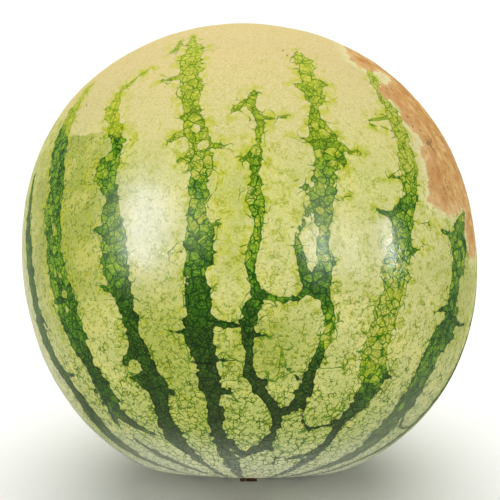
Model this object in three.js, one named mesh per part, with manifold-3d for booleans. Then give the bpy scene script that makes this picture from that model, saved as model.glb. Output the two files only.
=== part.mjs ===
// A round striped watermelon, as picked: the whole fruit, and the dry stub of its stem.
// Millimetres, +Z up. The fruit stands by its stem end on a small flat spot and leans back a
// little, so the stem end faces down and forward (-Y) and the blossom end faces up and back (+Y).
// The origin is on the table, under the middle of the fruit's bounding box.

import * as THREE from "three";
import { mergeVertices } from "three/addons/utils/BufferGeometryUtils.js";
import Module from "manifold-3d";

// The fruit's body. Its own axis runs from the stem end (-1) to the blossom end (+1).
const BALL_RADIUS = 121.8; // of the ball that the fruit nearly is
const LENGTHENING = 1.3; // out at both ends, in round the middle
const SHOULDERING = 1.1; // out half way between the middle and each end, so it is a little square
const FRONT_BACK_NARROWING = 1.4; // in at the front and the back
const SIDEWAYS = [0.5, -4.9, -1.8, 3.8]; // out to the right: a cubic in the place along the axis
const LOBES = 10; // faint lobes, one over each main bundle of veins
const LOBE_HEIGHT = 0.4;
const LEAN_BACK = 24; // degrees from upright

// The stem end: a wide oval hollow with a low collar of rind that holds the stub.
const STEM_HOLLOW_DEPTH = 6;
const STEM_HOLLOW_REACH = 40; // to the left and the right
const STEM_HOLLOW_REACH_BACK = 32; // to the front and the back
const COLLAR_HEIGHT = 0.3;
const COLLAR_REACH = 8.5;

// The blossom end: a shallow hollow with a small raised button, the scar of the flower.
const BLOSSOM_HOLLOW_DEPTH = 2;
const BLOSSOM_HOLLOW_REACH = 22;
const BUTTON_HEIGHT = 0.9;
const BUTTON_REACH = 4.6;

// The stub: a short piece of dry stem, ribbed lengthways and broken off unevenly.
const STUB_RADIUS = 4.2;
const STUB_RIBS = 5;
const STUB_RIB_HEIGHT = 0.3;
const STUB_STANDS_OUT = 1.1;
const STUB_SUNK = 2.2;
const STUB_BREAK_UNEVENNESS = 0.35;
const STUB_GAP = 0.35; // between the stub and its socket, all round

// The flat spot that the fruit stands on.
const FLAT_SPOT_RADIUS = 25;

// Fineness of the faceted solids.
const MERIDIANS = 84;
const RINGS = 56;
const RING_CROWDING = 0.72; // 0 spaces the rings evenly, and nearer 1 crowds them at both ends
const STUB_SIDES = 30;

const wasm = await Module();
wasm.setup();

// 1 at the fruit's axis and 0 just past the reach of a spot round it, for a unit vector's x and y.
const spot = (x, y, reach, reachBack = reach) =>
  Math.exp(-((((x / reach) ** 2 + (y / reachBack) ** 2) * BALL_RADIUS ** 2) ** 2));

// The distance of the skin from the fruit's centre, in the direction of a unit vector.
function skinRadius(direction) {
  const { x, y, z } = direction;
  const aroundAxis = Math.atan2(x, -y);
  const [atMiddle, byPlace, byPlaceSquared, byPlaceCubed] = SIDEWAYS;
  const body =
    BALL_RADIUS +
    LENGTHENING * (2 * z ** 2 - 1) -
    SHOULDERING * (8 * z ** 4 - 8 * z ** 2 + 1) -
    FRONT_BACK_NARROWING * y ** 2 +
    x * (atMiddle + byPlace * z + byPlaceSquared * z ** 2 + byPlaceCubed * z ** 3) +
    LOBE_HEIGHT * (1 - z ** 2) * Math.cos(LOBES * aroundAxis);
  const stemEnd =
    COLLAR_HEIGHT * spot(x, y, COLLAR_REACH) -
    STEM_HOLLOW_DEPTH * spot(x, y, STEM_HOLLOW_REACH, STEM_HOLLOW_REACH_BACK);
  const blossomEnd =
    BUTTON_HEIGHT * spot(x, y, BUTTON_REACH) -
    BLOSSOM_HOLLOW_DEPTH * spot(x, y, BLOSSOM_HOLLOW_REACH);
  return body + (z < 0 ? stemEnd : blossomEnd);
}

// A geometry with position alone and its shared vertices merged, which manifold-3d can read.
function merged(geometry) {
  geometry.deleteAttribute("normal");
  geometry.deleteAttribute("uv");
  return mergeVertices(geometry);
}

function toSolid(geometry) {
  return new wasm.Manifold(
    new wasm.Mesh({
      numProp: 3,
      vertProperties: new Float32Array(geometry.getAttribute("position").array),
      triVerts: new Uint32Array(geometry.index.array),
    }),
  );
}

function toGeometry(solid) {
  const { vertProperties, triVerts } = solid.getMesh();
  const geometry = new THREE.BufferGeometry();
  geometry.setAttribute("position", new THREE.BufferAttribute(vertProperties, 3));
  geometry.setIndex(new THREE.BufferAttribute(triVerts, 1));
  geometry.computeVertexNormals();
  return geometry;
}

// The whole fruit as a sphere's grid pushed out to the skin, with its axis along Z.
function makeBody() {
  const grid = merged(new THREE.SphereGeometry(1, MERIDIANS, RINGS)).rotateX(Math.PI / 2);
  const position = grid.getAttribute("position");
  const direction = new THREE.Vector3();
  for (let i = 0; i < position.count; i++) {
    direction.fromBufferAttribute(position, i).normalize();
    const around = Math.atan2(direction.y, direction.x);
    const even = Math.acos(THREE.MathUtils.clamp(direction.z, -1, 1));
    const down = even - (RING_CROWDING / 2) * Math.sin(2 * even);
    const out = Math.abs(direction.z) > 1 - 1e-9 ? 0 : Math.sin(down);
    direction.set(out * Math.cos(around), out * Math.sin(around), Math.cos(down));
    direction.multiplyScalar(skinRadius(direction));
    position.setXYZ(i, direction.x, direction.y, direction.z);
  }
  return grid;
}

// The height of the collar's top at the stem end, along the fruit's axis.
const COLLAR_TOP = -skinRadius(new THREE.Vector3(0, 0, -1));

// A round plug about the fruit's axis at the stem end, from sunk in the collar to standing out.
function makePlug(radius, sunk, standsOut) {
  const profile = [
    new THREE.Vector2(0, COLLAR_TOP - standsOut),
    new THREE.Vector2(radius * 0.6, COLLAR_TOP - standsOut),
    new THREE.Vector2(radius, COLLAR_TOP - standsOut * 0.7),
    new THREE.Vector2(radius, COLLAR_TOP + sunk / 2),
    new THREE.Vector2(radius, COLLAR_TOP + sunk),
    new THREE.Vector2(0, COLLAR_TOP + sunk),
  ];
  const plug = merged(new THREE.LatheGeometry(profile, STUB_SIDES));
  return plug.rotateX(Math.PI / 2);
}

// The stub's plug, ribbed round its side and uneven where it broke.
function makeStub() {
  const stub = makePlug(STUB_RADIUS, STUB_SUNK - STUB_GAP, STUB_STANDS_OUT);
  const position = stub.getAttribute("position");
  for (let i = 0; i < position.count; i++) {
    const [x, y, z] = [position.getX(i), position.getY(i), position.getZ(i)];
    const around = Math.atan2(x, -y);
    const out = Math.hypot(x, y) / STUB_RADIUS;
    const wider = 1 + (STUB_RIB_HEIGHT / STUB_RADIUS) * Math.cos(STUB_RIBS * around);
    const broken = z < COLLAR_TOP ? STUB_BREAK_UNEVENNESS * out * Math.sin(3 * around + 1) : 0;
    position.setXYZ(i, x * wider, y * wider, z + broken);
  }
  return stub;
}

// The fruit's lean, as it stands.
const lean = new THREE.Matrix4().makeRotationX(-THREE.MathUtils.degToRad(LEAN_BACK));

// The body with the stub's socket cut in it, leaned back, and cut flat where it stands.
function makeFruit() {
  const socketRadius = STUB_RADIUS + STUB_RIB_HEIGHT + STUB_GAP;
  const socket = toSolid(makePlug(socketRadius, STUB_SUNK, COLLAR_HEIGHT + 2));
  const leaning = toGeometry(toSolid(makeBody()).subtract(socket)).applyMatrix4(lean);
  leaning.computeBoundingBox();
  const cutHeight = leaning.boundingBox.min.z + FLAT_SPOT_RADIUS ** 2 / (2 * BALL_RADIUS);
  const side = 3 * BALL_RADIUS;
  const table = merged(new THREE.BoxGeometry(side, side, side));
  table.translate(0, 0, cutHeight - side / 2);
  return toGeometry(toSolid(leaning).subtract(toSolid(table)));
}

const rind = new THREE.MeshStandardMaterial({ color: 0xb9c56f, roughness: 0.38, metalness: 0 });
rind.name = "waxy striped rind";
const dryStem = new THREE.MeshStandardMaterial({ color: 0x5a3a1c, roughness: 0.9, metalness: 0 });
dryStem.name = "dry corky stem";

const fruit = new THREE.Mesh(makeFruit(), rind);
fruit.name = "fruit";

const stemStub = new THREE.Mesh(makeStub().applyMatrix4(lean), dryStem);
stemStub.name = "stem_stub";

// Both pieces, moved so that the origin is on the table under the middle of the fruit.
const melon = new THREE.Group();
melon.name = "watermelon";
melon.add(fruit, stemStub);
fruit.geometry.computeBoundingBox();
const { min, max } = fruit.geometry.boundingBox;
melon.position.set(-(min.x + max.x) / 2, -(min.y + max.y) / 2, -min.z);

export default melon;
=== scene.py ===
# %% [markdown]
# # A round striped watermelon
#
# A whole ripe melon stands by its stem end and leans back a little. Its rind is smooth and
# waxy, cream on top where it lay on the soil, and pale green below, with dark green stripes
# that run from end to end. Each stripe is a net of dark veins. This lesson dresses the two
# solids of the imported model, the fruit and the stub of its stem.

import math

import bpy
import numpy as np
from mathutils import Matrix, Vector


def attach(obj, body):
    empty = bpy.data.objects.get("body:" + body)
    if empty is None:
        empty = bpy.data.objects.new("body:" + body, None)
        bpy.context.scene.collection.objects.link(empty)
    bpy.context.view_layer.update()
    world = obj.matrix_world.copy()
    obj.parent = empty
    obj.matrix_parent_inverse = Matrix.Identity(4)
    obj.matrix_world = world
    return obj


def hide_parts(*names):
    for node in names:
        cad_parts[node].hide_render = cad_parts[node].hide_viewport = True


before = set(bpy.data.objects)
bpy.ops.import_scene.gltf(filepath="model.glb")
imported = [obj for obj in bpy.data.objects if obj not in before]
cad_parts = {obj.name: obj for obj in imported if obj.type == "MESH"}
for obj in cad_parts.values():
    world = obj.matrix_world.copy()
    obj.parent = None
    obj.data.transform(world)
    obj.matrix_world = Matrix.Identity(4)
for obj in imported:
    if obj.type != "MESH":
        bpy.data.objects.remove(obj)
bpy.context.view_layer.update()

# %% [markdown]
# Sizes are easier to read in millimetres, and colours as the hex values of a paint chart.
# Blender works in metres and in linear light, so a factor and a small function turn one into
# the other. An operator acts on everything that is selected, so the selection gets a helper
# too.

# %% Helpers for sizes, colours and the selection
MM = 0.001


def colour(hex_value):
    """An sRGB hex colour, such as "c8d762", as linear red, green, blue and alpha."""
    srgb = [int(hex_value[i : i + 2], 16) / 255 for i in (0, 2, 4)]
    return [c / 12.92 if c <= 0.04045 else ((c + 0.055) / 1.055) ** 2.4 for c in srgb] + [1]


def select_only(piece=None):
    """Leaves only one piece selected and active, or none."""
    bpy.ops.object.select_all(action="DESELECT")
    bpy.context.view_layer.objects.active = piece
    if piece:
        piece.select_set(True)


def apply_modifiers(piece):
    """Applies a piece's modifiers in their order."""
    select_only(piece)
    for name in [m.name for m in piece.modifiers]:
        bpy.ops.object.modifier_apply(modifier=name)


def box_in_mm(piece):
    """The lowest and highest corners of a piece's own box, in mm."""
    return [tuple(round(c / MM, 1) for c in piece.bound_box[k]) for k in (0, 6)]


print("the middle grey 808080 in linear light:", round(colour("808080")[0], 3))

# %% [markdown]
# One small function serves every material: it adds a node, sets its settings, and sets or
# links its inputs. An input can be a number, a hex colour or another node's output.

# %% A function that adds a node
def add(tree, kind, inputs=(), output=0, **settings):
    """Adds a shader node and returns one of its outputs, by number or by name. Inputs come as a
    list in the order of the node's sockets, or as a dict by socket. A ramp's stops are pairs."""
    node = tree.nodes.new("ShaderNode" + kind)
    stops = settings.pop("stops", None)
    if stops:
        elements = node.color_ramp.elements
        elements[0].position, elements[-1].position = stops[0][0], stops[-1][0]
        for at, _ in stops[1:-1]:
            elements.new(at)
        for element, (_, hex_value) in zip(elements, stops):
            element.color = colour(hex_value)
    for name, value in settings.items():
        setattr(node, name, value)
    for name, value in inputs.items() if isinstance(inputs, dict) else enumerate(inputs):
        if isinstance(value, bpy.types.NodeSocket):
            tree.links.new(value, node.inputs[name])
        else:
            node.inputs[name].default_value = colour(value) if isinstance(value, str) else value
    return node.outputs[output] if node.outputs else None


def new_material(name):
    """An empty material, ready for nodes."""
    material = bpy.data.materials.new(name)
    material.use_nodes = True
    material.node_tree.nodes.clear()
    return material


# %% [markdown]
# ## The studio
#
# The melon stands on matte white paper in a white room. Matte paper scatters light evenly, so
# it shows nothing but the fruit's soft shadow. The room is equally bright on all sides and
# fills the shadows.

# %% Floor and white room
FLOOR_SIZE = 60  # m, so wide that its edge is out of sight
WHITE_ROOM = 0.38  # how brightly the room shines

select_only()
bpy.ops.mesh.primitive_plane_add(size=FLOOR_SIZE, location=(0, 0, 0))
floor = bpy.context.object
floor.name = "floor"
paper = new_material("matte white paper")
add(paper.node_tree, "OutputMaterial", [
    add(paper.node_tree, "BsdfPrincipled", {"Base Color": "fafaf8", "Roughness": 0.8})])
floor.data.materials.append(paper)
floor.visible_glossy = False  # its reflection would grey the dark stripes

room = bpy.data.worlds.new("white room")
room.use_nodes = True
room.node_tree.nodes["Background"].inputs["Color"].default_value = colour("ffffff")
room.node_tree.nodes["Background"].inputs["Strength"].default_value = WHITE_ROOM
bpy.context.scene.world = room
bpy.context.scene.view_settings.view_transform = "Standard"
print("floor:", tuple(floor.dimensions))

# %% [markdown]
# A long lens keeps round things round. The camera stands two thirds of a metre away and a
# little above the fruit's middle, so that the stem end just shows at the bottom.

# %% Camera
FRUIT_MIDDLE = Vector((0, 0, 0.119))
CAMERA_DISTANCE = 0.6659
CAMERA_HEIGHT_DEGREES = 14
LENS_MM = 90
AIM = Vector((0.0004, -0.0013, 0.1242))  # the point that the camera looks at


def direction(azimuth, height):
    """The unit vector from the fruit towards a place round it: azimuth 0 is the front, -Y,
    and grows to the right; height is above the horizon. Both are in degrees."""
    a, h = math.radians(azimuth), math.radians(height)
    return Vector((math.sin(a) * math.cos(h), -math.cos(a) * math.cos(h), math.sin(h)))


bpy.ops.object.camera_add(
    location=FRUIT_MIDDLE + CAMERA_DISTANCE * direction(0, CAMERA_HEIGHT_DEGREES))
camera = bpy.context.object
camera.data.lens = LENS_MM
camera.rotation_euler = (AIM - camera.location).to_track_quat("-Z", "Y").to_euler()
bpy.context.scene.camera = camera
print("camera at:", tuple(round(c, 3) for c in camera.location))

# %% [markdown]
# A glossy fruit shows every lamp as a highlight, so the work is shared out. The softboxes give
# the highlights and nothing else: a tall one on the left, and on the right one that is seen
# through two bars, made as three strips. Other lamps give the even light.

# %% Softboxes for the highlights
DAYLIGHT = (0.8, 0.82, 1)  # linear red, green and blue, a little bluer than the rest
# Each row: name, azimuth and height in degrees, then distance, width and height of the box in
# metres, and watts.
SOFTBOXES = [
    ("left softbox", -51, 22, 1.3, 0.4, 0.6, 12.2),
    ("right softbox, near strip", 33, 19, 1.5, 0.05, 0.4, 4.6),
    ("right softbox, middle strip", 47, 16, 1.5, 0.05, 0.45, 3.8),
    ("right softbox, far strip", 70, 12, 1.5, 0.1, 0.35, 7),
]


def lamp_at(kind, name, azimuth, height, distance):
    """Adds a lamp at a place round the fruit, turned towards the fruit's middle."""
    way = direction(azimuth, height)
    bpy.ops.object.light_add(type=kind, location=FRUIT_MIDDLE + distance * way)
    lamp = bpy.context.object
    lamp.name = name
    lamp.rotation_euler = (-way).to_track_quat("-Z", "Y").to_euler()
    return lamp


for name, azimuth, height, distance, width, tall, watts in SOFTBOXES:
    lamp = lamp_at("AREA", name, azimuth, height, distance)
    lamp.data.shape = "RECTANGLE"
    lamp.data.size, lamp.data.size_y, lamp.data.energy = width, tall, watts
    lamp.data.color = DAYLIGHT
    lamp.visible_diffuse = False
print("softboxes:", len(SOFTBOXES))

# %% [markdown]
# The even light comes from two very wide diffusers, one high up behind and one low in front.
# A sun lamp with a wide angle does for such a diffuser, because it lights all parts alike. Both
# are kept out of the reflections, where they would grey the dark stripes.

# %% Diffusers for the even light
# Each row: name, azimuth, height, how wide the diffuser looks in degrees, W/m2.
DIFFUSERS = [
    ("overhead diffuser", 180, 72, 75, 2.4),
    ("front diffuser", -10, 2, 80, 1.6),
]
for name, azimuth, height, spread, strength in DIFFUSERS:
    lamp = lamp_at("SUN", name, azimuth, height, distance=1)
    lamp.data.angle = math.radians(spread)
    lamp.data.energy = strength
    lamp.visible_glossy = False
print("diffusers:", len(DIFFUSERS))

# %% [markdown]
# ## How the fruit stands
#
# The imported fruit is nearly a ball. It stands by its stem end and leans back, so the stem
# points down and forward. Everything on it is placed from the ball's middle and that lean.

# %% The ball's middle and the lean
BALL_CENTRE = Vector((-0.48, 0, 120.05)) * MM
LEAN_DEGREES = 24
lean = math.radians(LEAN_DEGREES)
stem_way = Vector((0, -math.sin(lean), -math.cos(lean)))  # from the middle out of the stem end
print("the stem end faces", tuple(round(c, 3) for c in stem_way))

# %% [markdown]
# ## The stub of the stem
#
# The vine was cut long ago. What is left of the stem is a short plug of dry cork, ribbed along
# its side, with a sunken pith, and broken off unevenly. Neither the ribs nor the break are
# round, so it isn't turned like a knob: a plain cylinder is the start, and its faces are
# worked on in edit mode.

# %% The stub, from a cylinder
COLLAR_TOP = 116.3  # mm from the ball's middle to the top of the collar, along the axis
STUB_RADIUS = 4.4  # mm
STUB_TALL = 3.0  # mm, with what sits in the socket
STUB_OUT = 1.05  # mm that stand out of the collar
RIBS = 5
SIDES_PER_RIB = 12

select_only()
bpy.ops.mesh.primitive_cylinder_add(
    vertices=RIBS * SIDES_PER_RIB, radius=STUB_RADIUS * MM, depth=STUB_TALL * MM,
    end_fill_type="NGON",
    location=BALL_CENTRE + stem_way * (COLLAR_TOP + STUB_OUT - STUB_TALL / 2) * MM,
    rotation=(-lean, 0, 0))
stub = bpy.context.object
stub.name = "stem_stub_piece"
print("stub faces:", len(stub.data.polygons))

# %% [markdown]
# The grooves between the ribs come first: the faces there are found by their place round the
# stub and moved in along their normals. Then the free end is extruded ring by ring, out for
# the broken bark and back in for the pith.

# %% Ribs and pith
GROOVE_DEPTH = 0.35  # mm
# Each row: a ring's size as a share of the one before, and how far in it goes in mm.
PITH_RINGS = ((.86, -.1), (.72, .05), (.75, .4), (.6, .2))
LENGTH_CUTS = 4  # along the side, so that the break has points to move


def select_parts(piece, kind, wanted):
    """Enters edit mode with only those faces or vertices selected for which wanted(part) is
    true. The kind is FACE or VERT."""
    bpy.ops.object.mode_set(mode="EDIT")
    bpy.ops.mesh.select_mode(type=kind)
    bpy.ops.object.mode_set(mode="OBJECT")
    for parts in (piece.data.vertices, piece.data.edges, piece.data.polygons):
        parts.foreach_set("select", [False] * len(parts))
    for part in piece.data.polygons if kind == "FACE" else piece.data.vertices:
        part.select = wanted(part)
    bpy.ops.object.mode_set(mode="EDIT")


def on_side(face):
    """Whether a face is on the stub's side, not on an end."""
    return abs(face.normal.z) < .5


def in_groove(face):
    """Whether a face on the side lies between two ribs."""
    around = math.degrees(math.atan2(face.center.x, face.center.y)) % (360 / RIBS)
    return on_side(face) and around > 180 / RIBS


select_parts(stub, "FACE", in_groove)
bpy.ops.transform.shrink_fatten(value=-GROOVE_DEPTH * MM)
select_parts(stub, "FACE", lambda face: face.normal.z < -.9)
for smaller, deeper in PITH_RINGS:
    bpy.ops.mesh.extrude_region_move()
    bpy.ops.transform.resize(value=(smaller, smaller, 1), orient_type="LOCAL")
    bpy.ops.transform.translate(value=(0, 0, deeper * MM), orient_type="LOCAL")
bpy.ops.mesh.poke()
select_parts(stub, "FACE", on_side)
bpy.ops.mesh.subdivide(number_cuts=LENGTH_CUTS)
bpy.ops.object.mode_set(mode="OBJECT")
print("stub faces with ribs and pith:", len(stub.data.polygons))

# %% [markdown]
# Old cork breaks in crumbs. The points near the free end are moved at random, from a seed so
# that every run gives the same break, and smoothed a little as wear would. A fine cloud noise
# then makes the whole surface crumbly.

# %% The stub's uneven break
BREAK_TALL = 1.0  # mm at the free end
BREAK_MOVE = 0.42  # mm
CORK_GRAIN, CORK_HEIGHT = 1.1, 0.5  # mm


def cloud(name, size):
    """A soft three-dimensional noise for a Displace modifier, with its size in metres."""
    texture = bpy.data.textures.new(name, "CLOUDS")
    texture.noise_scale = size
    texture.noise_depth = 1
    return texture


def push_out(piece, name, size, height, group=""):
    """Adds a Displace modifier: a cloud noise of a size and a height in metres, half of it
    outwards and half inwards, perhaps only where a vertex group says so."""
    push = piece.modifiers.new(name, "DISPLACE")
    push.texture = cloud(name, size)
    push.texture_coords = "LOCAL"
    push.strength = height
    push.mid_level = 0.5
    push.vertex_group = group


select_parts(stub, "VERT", lambda point: point.co.z < (BREAK_TALL - STUB_TALL / 2) * MM)
bpy.ops.transform.vertex_random(offset=BREAK_MOVE * MM, uniform=0.6, normal=0.3, seed=4)
bpy.ops.object.mode_set(mode="OBJECT")
wear = stub.modifiers.new("wear", "SMOOTH")
wear.iterations = 2
push_out(stub, "cork crumbs", CORK_GRAIN * MM, CORK_HEIGHT * MM)
apply_modifiers(stub)
bpy.ops.object.transform_apply(location=True, rotation=True, scale=True)
bpy.ops.object.shade_smooth()
print("stub box (mm):", box_in_mm(stub))

# %% [markdown]
# ## The skin
#
# A melon's skin is one smooth closed surface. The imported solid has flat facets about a
# centimetre wide, which would show in the gloss, so the skin is grown anew. A ball made from a
# subdivided cube has even squares and no poles, so a fine noise can be laid on it anywhere.

# %% A fine ball inside the solid
CUTS = 100  # the most that one subdivide takes; the squares come out about 1.7 mm wide
CUBE_SIDE = 100  # mm
BALL_RADIUS = 80  # mm, well inside the fruit

select_only()
bpy.ops.mesh.primitive_cube_add(size=CUBE_SIDE * MM, location=BALL_CENTRE)
skin = bpy.context.object
skin.name = "rind"
bpy.ops.object.mode_set(mode="EDIT")
bpy.ops.mesh.select_all(action="SELECT")
bpy.ops.mesh.subdivide(number_cuts=CUTS)
bpy.ops.object.mode_set(mode="OBJECT")
ball = skin.modifiers.new("ball", "CAST")
ball.factor = 1
ball.use_radius_as_size = False
ball.size = BALL_RADIUS * MM
print("ball:", len(skin.data.vertices), "vertices")

# %% [markdown]
# Every point of the ball then goes straight out along its normal until it meets the solid, so
# the skin has the solid's size and shape exactly. Smoothing takes the facets off and leaves
# the hollows at both ends, which are much wider than a facet.

# %% Laid on the solid and smoothed
SMOOTHING_STEPS = 24

lay = skin.modifiers.new("lay on the solid", "SHRINKWRAP")
lay.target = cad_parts["fruit"]
lay.wrap_method = "PROJECT"
lay.use_positive_direction = True
ease = skin.modifiers.new("ease the facets", "SMOOTH")
ease.factor = 0.5
ease.iterations = SMOOTHING_STEPS
apply_modifiers(skin)
bpy.ops.object.transform_apply(location=True, rotation=False, scale=False)
bpy.ops.object.shade_smooth()
print("rind box (mm):", box_in_mm(skin))

# %% [markdown]
# ## A map of the fruit
#
# Everything drawn on a melon follows its own axis, as places on a globe do. Longitude is 0
# down the front and grows to the right. The second number is the angle from the stem, 0 at
# the stem end and 180 at the blossom end. One degree is a little over two millimetres.

# %% Where each point of the skin is on the map
GLOBE_RADIUS = 119.5  # mm, the fruit's mean radius

mesh = skin.data
points = np.empty(len(mesh.vertices) * 3, np.float32)
mesh.vertices.foreach_get("co", points)
points = points.reshape(-1, 3) - np.array(BALL_CENTRE, np.float32)
across, back, along = points[:, 0], points[:, 1], points[:, 2]
upright = np.stack([
    across,
    back * math.cos(lean) - along * math.sin(lean),
    back * math.sin(lean) + along * math.cos(lean)], 1)
unit = upright / np.linalg.norm(upright, axis=1, keepdims=True)
longitude = np.degrees(np.arctan2(unit[:, 0], -unit[:, 1]))
from_stem = np.degrees(np.arccos(np.clip(-unit[:, 2], -1, 1)))


def on_globe(longitudes, angles):
    """Unit vectors for places on the map."""
    lon, ang = np.radians(longitudes), np.radians(angles)
    return np.stack([np.sin(ang) * np.sin(lon), -np.sin(ang) * np.cos(lon), -np.cos(ang)], -1)


def mm_between(cosine):
    """The distance along the skin for the cosine of the angle between two places."""
    return GLOBE_RADIUS * np.arccos(np.clip(cosine, -1, 1))


print("angles from the stem:", round(float(from_stem.min()), 1), "to", round(float(from_stem.max()), 1))

# %% [markdown]
# ## The stripes
#
# Each stripe is a route down the fruit. A stop on a route gives longitude, angle from the
# stem, half the stripe's width in millimetres, and how solid its green is: 0 is an open net
# of veins, 1 is green right through. Stripes are widest over the fruit's middle, and all of
# them run thin and meet at the stem.

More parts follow.
